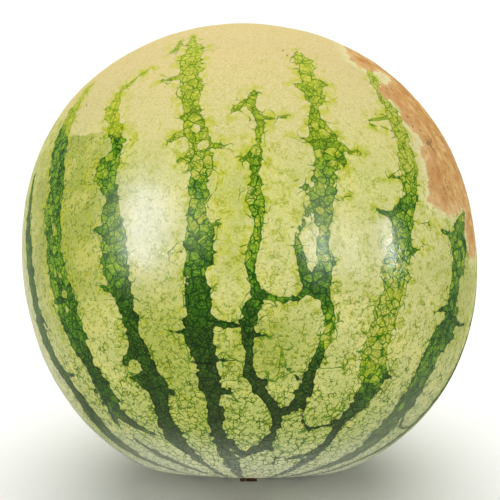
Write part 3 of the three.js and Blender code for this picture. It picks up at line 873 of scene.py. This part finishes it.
# %% [markdown]
# ## The rind's finish
#
# Real rind is a thin green skin with a natural wax bloom: smooth, a little glossy, and never
# one colour. Its cells show as rounded patches a few millimetres wide with veins between
# them. All patterns are in millimetres on the object's own coordinates, and they are bent by
# a soft noise first, because no vein on a fruit is straight.

# %% Coordinates in millimetres, and how they are bent
rind = new_material("waxy watermelon rind")
tree = rind.node_tree
place = add(tree, "VectorMath", {
    0: add(tree, "TexCoord", output="Object"), "Scale": 1 / MM}, operation="SCALE")
outward = add(tree, "VectorMath", [place, tuple(BALL_CENTRE / MM)], operation="SUBTRACT")
outward = add(tree, "VectorMath", [outward], operation="NORMALIZE")
stored = {name: add(tree, "Attribute", output="Fac", attribute_name=name) for name in SKIN_NUMBERS}
stem_angle = stored["from_stem"]


def bent(size, amount, detail=0.5):
    """The coordinates, pushed about by up to an amount of mm in patches of a size in mm."""
    noise = add(tree, "TexNoise", {"Vector": place, "Scale": 1 / size, "Detail": detail}, "Color")
    return add(tree, "VectorMath", [noise, (amount, amount, amount), place], operation="MULTIPLY_ADD")


print("numbers read from the skin:", len(stored))

# %% [markdown]
# A Voronoi texture fills space with cells. The wall between a point's own cell and the next
# one lies half way between the middles of the two. Where a wall cuts the skin at a slant, the
# distance straight to it is shorter than the distance along the skin, and a vein would come
# out too wide. So the distance is divided by the sine of that slant.

# %% Cells with walls
def cells(vector, size, rounding):
    """Distance in mm along the skin to the wall between two cells of a size in mm, and a random
    number for each cell. Rounding takes up to that many mm off at the corners."""
    own = add(tree, "TexVoronoi", {"Vector": vector, "Scale": 1 / size}).node
    middle = own.outputs["Position"]
    beyond = add(tree, "TexVoronoi", {"Vector": vector, "Scale": 1 / size}, "Position", feature="F2")
    apart = add(tree, "VectorMath", [beyond, middle], operation="SUBTRACT")
    on_wall = add(tree, "VectorMath", [apart, (.5, .5, .5), middle], operation="MULTIPLY_ADD")
    to_wall = add(tree, "VectorMath", [on_wall, vector], operation="SUBTRACT")
    off = add(tree, "VectorMath", [to_wall, apart], "Value", operation="DOT_PRODUCT")
    slant = add(tree, "VectorMath", [apart, outward], operation="CROSS_PRODUCT")
    slant = add(tree, "VectorMath", [slant], "Value", operation="LENGTH")
    off = add(tree, "Math", [off, slant], operation="DIVIDE")
    corner = add(tree, "MapRange", [own.outputs["Distance"], .35, .8, 0, rounding])
    chance = add(tree, "SeparateColor", [own.outputs["Color"]])
    return add(tree, "Math", [off, corner], operation="SUBTRACT"), chance


print("nodes before the first cells:", len(tree.nodes))

# %% [markdown]
# Three more helpers take up what repeats from here on. A pattern is mostly a sum or a product
# of mapped noises: a row says which value, its range, and the range that it becomes. A colour
# is mostly a stack of layers, each with a share.

# %% Sums, products and layers
def summed(start, terms):
    """A value plus others, each mapped from one range to another first."""
    for value, *ranges in terms:
        term = add(tree, "MapRange", [value, *ranges])
        start = add(tree, "Math", [start, term], operation="ADD")
    return start


def scaled(start, factors):
    """A value times others, each mapped from one range to another first."""
    for value, *ranges in factors:
        factor = add(tree, "MapRange", [value, *ranges])
        start = add(tree, "Math", [start, factor], operation="MULTIPLY")
    return start


def layered(base, layers):
    """A colour with other colours over it. A layer is a share and a colour, or a value, the
    ranges that turn it into a share, and a colour. A Mix node's colours are sockets 6 and 7."""
    for *share, over in layers:
        share = add(tree, "MapRange", share) if len(share) > 1 else share[0]
        base = add(tree, "Mix", {"Factor": share, 6: base, 7: over}, 2, data_type="RGBA")
    return base


print("a sum, a product and a stack of layers are ready")

# %% [markdown]
# Four sizes of cell are enough: lobes that scallop the edge of a stripe, the cells of its
# vein net, crumbs inside those, and the cells that crack the pale rind near the stem. A few
# plain noises break the patterns up, so that none of them looks the same all over. The real
# freckles are a few tenths of a millimetre, and are drawn about a millimetre wide to show.

# %% Cells and noises
LOBE, CELL, CRUMB, CRACKED = 11.0, 3.9, 2.0, 2.9  # mm, sizes of cells
PATCH, BLOT, FLICKER, DASH, GRAIN = 16, 4.5, 3.2, 1.9, .95  # mm, sizes of noises

lobe_place = bent(9, 8, 1.0)
lobe_edge = add(tree, "TexVoronoi", {
    "Vector": lobe_place, "Scale": 1 / LOBE}, feature="DISTANCE_TO_EDGE")
lobe_edge = add(tree, "Math", [lobe_edge, LOBE], operation="MULTIPLY")
lobe_wall = cells(lobe_place, LOBE, 0)[0]
cell_edge, cell_chance = cells(bent(4, 3.6), CELL, .2)
crumb_edge = cells(bent(2.2, 1.6), CRUMB, .1)[0]
crack_edge = cells(bent(3.2, 3.0, 1.0), CRACKED, .2)[0]
patches = add(tree, "TexNoise", {"Vector": place, "Scale": 1 / PATCH, "Detail": 3.0})
blots = add(tree, "TexNoise", {"Vector": bent(6, 3), "Scale": 1 / BLOT, "Detail": 1.0})
flicker = add(tree, "TexNoise", {"Vector": bent(3, 2), "Scale": 1 / FLICKER, "Detail": 1.0})
dashes = add(tree, "TexNoise", {"Vector": bent(2, 1.5), "Scale": 1 / DASH, "Detail": .5})
grain = add(tree, "TexNoise", {"Vector": place, "Scale": 1 / GRAIN, "Detail": 2.0, "Roughness": .7})
low = add(tree, "MapRange", [stem_angle, 88, 48, 0, 1])
print("nodes for cells and noises:", len(tree.nodes))

# %% [markdown]
# A stripe's edge is scalloped: pale lobes bulge into it, and green runs out between them in
# points. So the depth in the stripe is raised along lobe edges and lowered in lobe middles
# before it is cut off at zero. A thin spur is scalloped less, or it would fall to pieces.

# %% Where the green is
scallop = summed(0, [
    (lobe_edge, 0, 4.5, .9, -1.2), (blots, .3, .7, -.8, .8), (flicker, .3, .7, -.5, .5),
    (dashes, .3, .7, -.2, .2)])
scallop = scaled(scallop, [(stored["breadth"], .4, 4.5, .2, 1)])
green_depth = add(tree, "Math", [stored["stripe_depth"], scallop], operation="ADD")
green = add(tree, "MapRange", [green_depth, -.18, .18, 0, 1], interpolation_type="SMOOTHSTEP")
near_stripe = add(tree, "MapRange", [green_depth, -6, -.5, 0, 1])
print("nodes so far:", len(tree.nodes))

# %% [markdown]
# A vein is drawn where a point is nearer to a cell's edge than half the vein's width. Where
# a noise makes the width vary and fall below nothing, the vein tapers and ends, as real ones
# do. One function draws every net on the rind. Past a stripe's edge, veins run on between
# the lobes and taper away.

# %% Veins of a varying width
def veins(edge, width, soft=0.11):
    """1 in a vein and 0 outside: from the distance to a cell's edge and half the width, in mm."""
    within = add(tree, "Math", [width, edge], operation="SUBTRACT")
    return add(tree, "MapRange", [within, -soft, soft, 0, 1], interpolation_type="SMOOTHSTEP")


fringe_width = summed(0, [
    (green_depth, -6, .2, -.34, .3), (flicker, .35, .65, -.16, .12), (low, 0, 1, 0, .22),
    (crack_edge, 0, 1, .08, -.08)])
fringe = veins(lobe_wall, add(tree, "Math", [fringe_width, .3], operation="MINIMUM"), .16)
print("nodes so far:", len(tree.nodes))

# %% [markdown]
# Inside a stripe there are two nets, a coarse one and a fine one, and a dark line along the
# stripe's rim. The darkest of the three shows.

# %% The vein nets inside a stripe
cell_vein = veins(cell_edge, add(tree, "MapRange", [flicker, .35, .65, .06, .28]))
crumb_vein = veins(crumb_edge, add(tree, "MapRange", [blots, .36, .58, -.06, .17]))
crumb_vein = add(tree, "Math", [crumb_vein, .75], operation="MULTIPLY")
rim_vein = add(tree, "MapRange", [green_depth, .15, .95, 1, 0], interpolation_type="SMOOTHSTEP")
rim_vein = scaled(rim_vein, [(flicker, .35, .55, .5, 1)])
vein = add(tree, "Math", [cell_vein, crumb_vein], operation="MAXIMUM")
vein = add(tree, "Math", [vein, rim_vein], operation="MAXIMUM")
print("nodes so far:", len(tree.nodes))

# %% [markdown]
# The soil's mark is a change of colour and nothing else: the same stripes run on under it,
# only yellower. Its edge wanders a little.

# %% Where the ground spot is
in_ground = summed(stored["ground"], [(patches, .3, .7, -3, 3)])
in_ground = add(tree, "Math", [in_ground, stored["ground_softness"]], operation="DIVIDE")
in_ground = add(tree, "MapRange", [in_ground, -1, 1, 0, 1], interpolation_type="SMOOTHSTEP")
in_spot = summed(0, [
    (stored["ground_softness"], 4, 14, .75, .35), (stem_angle, 120, 138, 0, .35)])
in_spot = add(tree, "Math", [in_ground, in_spot], operation="MULTIPLY")
print("nodes so far:", len(tree.nodes))

# %% [markdown]
# Where a stripe's green is thin its cells are nearly as pale as the rind, and where it is
# solid they are nearly black. Each cell differs a little from the next. Towards the stem the
# green fades to a dull grey-green.

# %% The colours inside a stripe
swing = summed(0, [
    (cell_chance, 0, 1, -.32, .2), (blots, .3, .7, -.16, .16), (patches, .3, .7, -.08, .08)])
swing = scaled(swing, [(stored["solidity"], .55, .9, 1, .2)])
solidity = add(tree, "Math", [stored["solidity"], swing], operation="ADD")
filling = add(tree, "ValToRGB", [solidity], stops=[
    (0, "cac858"), (.15, "b8c030"), (.4, "94b622"), (.6, "6e9c16"), (.8, "3c7008"), (1, "1e4200")])
vein_colour = add(tree, "ValToRGB", [solidity], stops=[
    (0, "42760a"), (.3, "2c6604"), (.6, "1d5002"), (1, "102e02")])
filling = layered(filling, [(in_spot, "d4d038")])
vein_colour = layered(vein_colour, [(in_spot, "86a012")])
stem_end = add(tree, "MapRange", [stem_angle, 68, 40, 0, .75])
stem_end = scaled(stem_end, [(solidity, .4, .75, .2, 1)])
stripe_colour = layered(filling, [
    (grain, .48, .36, 0, .2, "b4cc50"), (grain, .46, .62, 0, .42, vein_colour), (vein, vein_colour),
    (stem_end, layered("3c4a28", [(vein, 0, 1, 0, .7, "1e2812")]))])
print("nodes so far:", len(tree.nodes))

# %% [markdown]
# The pale rind between the stripes is green-white flesh seen through the skin. Its base goes
# from cream through yellow-green to grey-green towards the stem, and large and small patches
# of it differ. Right by the stem it is painted paler again, as painted light where the fruit's
# bottom lies in shade. The ground spot covers it with plain cream.

# %% The pale rind between the stripes
yellow_here = scaled(stored["yellower"], [(blots, .35, .6, .35, 1)])
pale = layered("dad890", [
    (stem_angle, 62, 44, 0, .85, "b8c168"), (stored["greener"], "9eaa32"),
    # painted light: paler right by the stem, where the fruit's bottom lies in shade
    (stem_angle, 38, 26, 0, .6, "ced496"), (yellow_here, "ccd03e"),
    (patches, .5, .36, 0, .5, "dcd672"), (patches, .46, .66, 0, .4, "b6bc5e"),
    (blots, .52, .7, 0, .35, "b0b852")])
pale = layered(pale, [(in_ground, layered("d9ce8a", [(stem_angle, 112, 135, 0, 1, "dac486")]))])
print("nodes so far:", len(tree.nodes))

# %% [markdown]
# Over that base lie freckles of three kinds: yellow flecks near the stripes, a fine green
# speckle everywhere, and clusters of green dots. Pale dots between them keep it lively, and
# beside the crust the rind is paler.

# %% Freckles
fleck = scaled(near_stripe, [(blots, .42, .62, 0, .9), (low, 0, 1, 1, .3)])
speckle = scaled(1, [(grain, .47, .62, 0, 1), (low, 0, 1, .3, .5)])
cluster = scaled(1, [(grain, .46, .56, 0, 1), (blots, .53, .64, 0, .75), (in_ground, 0, 1, 1, .25)])
pale = layered(pale, [
    (stored["crust"], -7, -1, 0, .5, "efe8b4"),
    (grain, .5, .38, 0, .2, layered("ece4be", [(low, "cdd08a")])),
    (speckle, layered("b2b456", [(low, "86983c")])), (fleck, "c0c428"), (cluster, "9ea81e")])
print("nodes so far:", len(tree.nodes))

# %% [markdown]
# Short dashes of green follow the crumbs' edges. Towards the stem they join and darken, until
# the rind looks crazed into small crumbs. Where the rind is yellower, broad soft veins take
# the dashes' place. In the ground spot dashes and cracks are faint.

# %% Dashes and cracks in the pale rind
dash_width = summed(0, [
    (dashes, .46, .64, -.3, .18), (near_stripe, 0, 1, -.04, .06), (low, 0, 1, -.02, .03),
    (stored["greener"], .1, .8, 0, .13)])
dash = scaled(veins(crumb_edge, dash_width, .13), [
    (low, 0, 1, .7, .9), (in_ground, 0, 1, 1, .25), (stored["yellower"], .05, .4, 1, .45)])
dash_green = add(tree, "Math", [low, stored["greener"]], operation="MAXIMUM")
yellow_width = summed(0, [(stored["yellower"], .05, .6, -.5, .3), (flicker, .35, .65, -.35, .25)])
yellow_vein = veins(lobe_wall, yellow_width, .3)
crack_width = summed(0, [
    (blots, .36, .6, -.26, .14), (stem_angle, 34, 86, .2, -.34), (flicker, .35, .65, -.12, .12)])
crack_width = add(tree, "Math", [crack_width, .17], operation="MINIMUM")
crack = scaled(veins(crack_edge, crack_width, .12), [(in_ground, 0, 1, 1, .25)])
pale = layered(pale, [
    (yellow_vein, 0, 1, 0, .8, "b4ba1c"), (dash, layered("92a238", [(dash_green, "5f7d26")])),
    (crack, layered("849a2a", [(low, "44681a")])),
    (fringe, layered("86a030", [(near_stripe, "47780e"), (in_spot, "a8ac34")]))])
skin_colour = layered(pale, [(green, stripe_colour)])
print("nodes so far:", len(tree.nodes))

# %% [markdown]
# Round the stem the rind fades to a whitish grey-green, and that is painted light: it lifts the
# shade at the fruit's bottom and paints in a reflection of the white floor. The collar itself is
# brown. Elsewhere the bloom veils the colours thinly; round the highlights and along the rims
# that veil is a painted sheen and painted reflections. Scratches are dark on green rind and
# brown on cream.

# %% The painted pale stem end, the bloom and its painted sheen, and the scratches
# painted light: a whitish fade round the stem that lifts the shade at the bottom and paints the floor's
# reflection
painted_light_near_stem = add(tree, "MapRange", [stem_angle, 43, 18, 0, .85], interpolation_type="SMOOTHSTEP")
painted_light_near_stem = scaled(painted_light_near_stem, [(grain, .4, .6, 1, .6), (crack, 0, 1, 1, .4)])
skin_colour = layered(skin_colour, [
    (painted_light_near_stem, layered("e4e4c8", [(green, "a2aa96")])),
    (stem_angle, 9, 2.8, 0, .8, "7a5c30"),
    # the bloom's milky veil; round the highlights and along the rims it is a painted sheen and painted
    # reflections
    (stored["bloom_and_sheen"], 0, 1, 0, .45, layered("e0e0d6", [(green, "b2ba98")])),
    (stored["scratch"], -.1, .25, 0, .8, layered("16200a", [(in_ground, "8c5c30")]))])
print("nodes so far:", len(tree.nodes))

# %% [markdown]
# Cork forms where the young fruit's skin was rubbed. It is dry and tan, has little gloss, and
# has split here and there as the fruit grew. A noise of many scales gives it the mottle of
# bark, a second one its few dark pits, and its edge is paler.

# %% The crust
MOTTLE, PIT = 6, 2.4  # mm

crust_depth = summed(stored["crust"], [
    (cell_edge, 0, 1.4, .7, -.5), (blots, .3, .7, -1.2, 1.2), (grain, .3, .7, -.6, .6)])
crusted = add(tree, "MapRange", [crust_depth, -.3, .5, 0, 1], interpolation_type="SMOOTHSTEP")
mottle = add(tree, "TexNoise", {
    "Vector": bent(6, 5), "Scale": 1 / MOTTLE, "Detail": 5.0, "Roughness": .6})
cork = add(tree, "ValToRGB", [mottle], stops=[
    (.3, "b67e3a"), (.43, "cc9c56"), (.57, "dcb270"), (.72, "eccf98")])
pits = add(tree, "TexNoise", {"Vector": bent(3, 3), "Scale": 1 / PIT, "Detail": 3.0})
scar = summed(stored["scratch"], [(grain, .35, .65, -.7, .7)])
cork = layered(cork, [
    (crust_depth, 0, 7, .45, 0, "e6cc96"), (patches, .48, .6, 0, .55, "c08444"),
    (speckle, "c0905a"), (pits, .64, .7, 0, .75, "7a4e2a"), (scar, -.5, .3, 0, .8, "6a4e1e")])
skin_colour = layered(skin_colour, [(crusted, cork)])
print("nodes so far:", len(tree.nodes))

# %% [markdown]
# Wax is smooth, so the rind's highlights are clear but soft, and the finest grain breaks them
# up. Seen edge on, wax scatters light instead of mirroring it, so the rind is rougher where
# it faces away. Cork is rougher than wax everywhere. The bump is a few hundredths of a
# millimetre, too low for the mesh.

# %% Gloss, small bumps and the finished rind
WAX_IOR = 1.5  # typical of plant wax
MIRROR_LEVEL = 0.2  # the bloom dulls the mirror well below the usual 0.5
CORK_ROUGHER = 0.2  # what cork adds to the wax's roughness

height = summed(0, [
    (grain, .3, .7, 0, .035), (cell_edge, 0, .8, -.02, 0), (crack_edge, 0, .7, -.03, 0),
    (lobe_edge, 0, 3, -.05, 0)])
bump = add(tree, "Bump", {"Strength": .6, "Distance": MM, "Height": height})
roughness = add(tree, "MapRange", [grain, .3, .7, .14, .23])
facing_away = add(tree, "LayerWeight", {"Blend": .5}, "Facing")
roughness = add(tree, "MapRange", [
    facing_away, .5, .85, roughness, .8], interpolation_type="SMOOTHSTEP")
roughness = add(tree, "Math", [crusted, CORK_ROUGHER, roughness], operation="MULTIPLY_ADD")
add(tree, "OutputMaterial", [add(tree, "BsdfPrincipled", {
    "Base Color": skin_colour, "Roughness": roughness, "Normal": bump, "IOR": WAX_IOR,
    "Specular IOR Level": MIRROR_LEVEL})])
mesh.materials.append(rind)
print("nodes in the rind:", len(tree.nodes))

# %% [markdown]
# Dry stem is cork and old fibre: dark brown and quite dull. Fibres run along the fruit's axis,
# so the noise is stretched that way.

# %% Dry corky stem
FIBRES_PER_MM = 1.4
FIBRE_SQUEEZE = 0.35  # how much of the noise's scale is left lengthways
FIBRE_HEIGHT = 0.4  # mm

dry = new_material("dry corky stem")
tree = dry.node_tree
fibre_place = add(tree, "Mapping", {
    "Vector": add(tree, "TexCoord", output="Object"), "Rotation": (lean, 0, 0),
    "Scale": (1 / MM, 1 / MM, FIBRE_SQUEEZE / MM)})
fibre = add(tree, "TexNoise", {"Vector": fibre_place, "Scale": FIBRES_PER_MM, "Detail": 4.0})
stem_colour = add(tree, "ValToRGB", [fibre], stops=[
    (.38, "180c04"), (.5, "40240c"), (.6, "7c4c1c"), (.72, "b48442")])
fibre_bump = add(tree, "Bump", {"Strength": .8, "Distance": FIBRE_HEIGHT * MM, "Height": fibre})
add(tree, "OutputMaterial", [add(tree, "BsdfPrincipled", {
    "Base Color": stem_colour, "Roughness": .9, "Normal": fibre_bump})])
stub.data.materials.append(dry)
print("nodes in the stem:", len(tree.nodes))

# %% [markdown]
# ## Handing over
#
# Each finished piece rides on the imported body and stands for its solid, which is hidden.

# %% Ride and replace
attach(skin, "root")
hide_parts("fruit")
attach(stub, "root")
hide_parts("stem_stub")
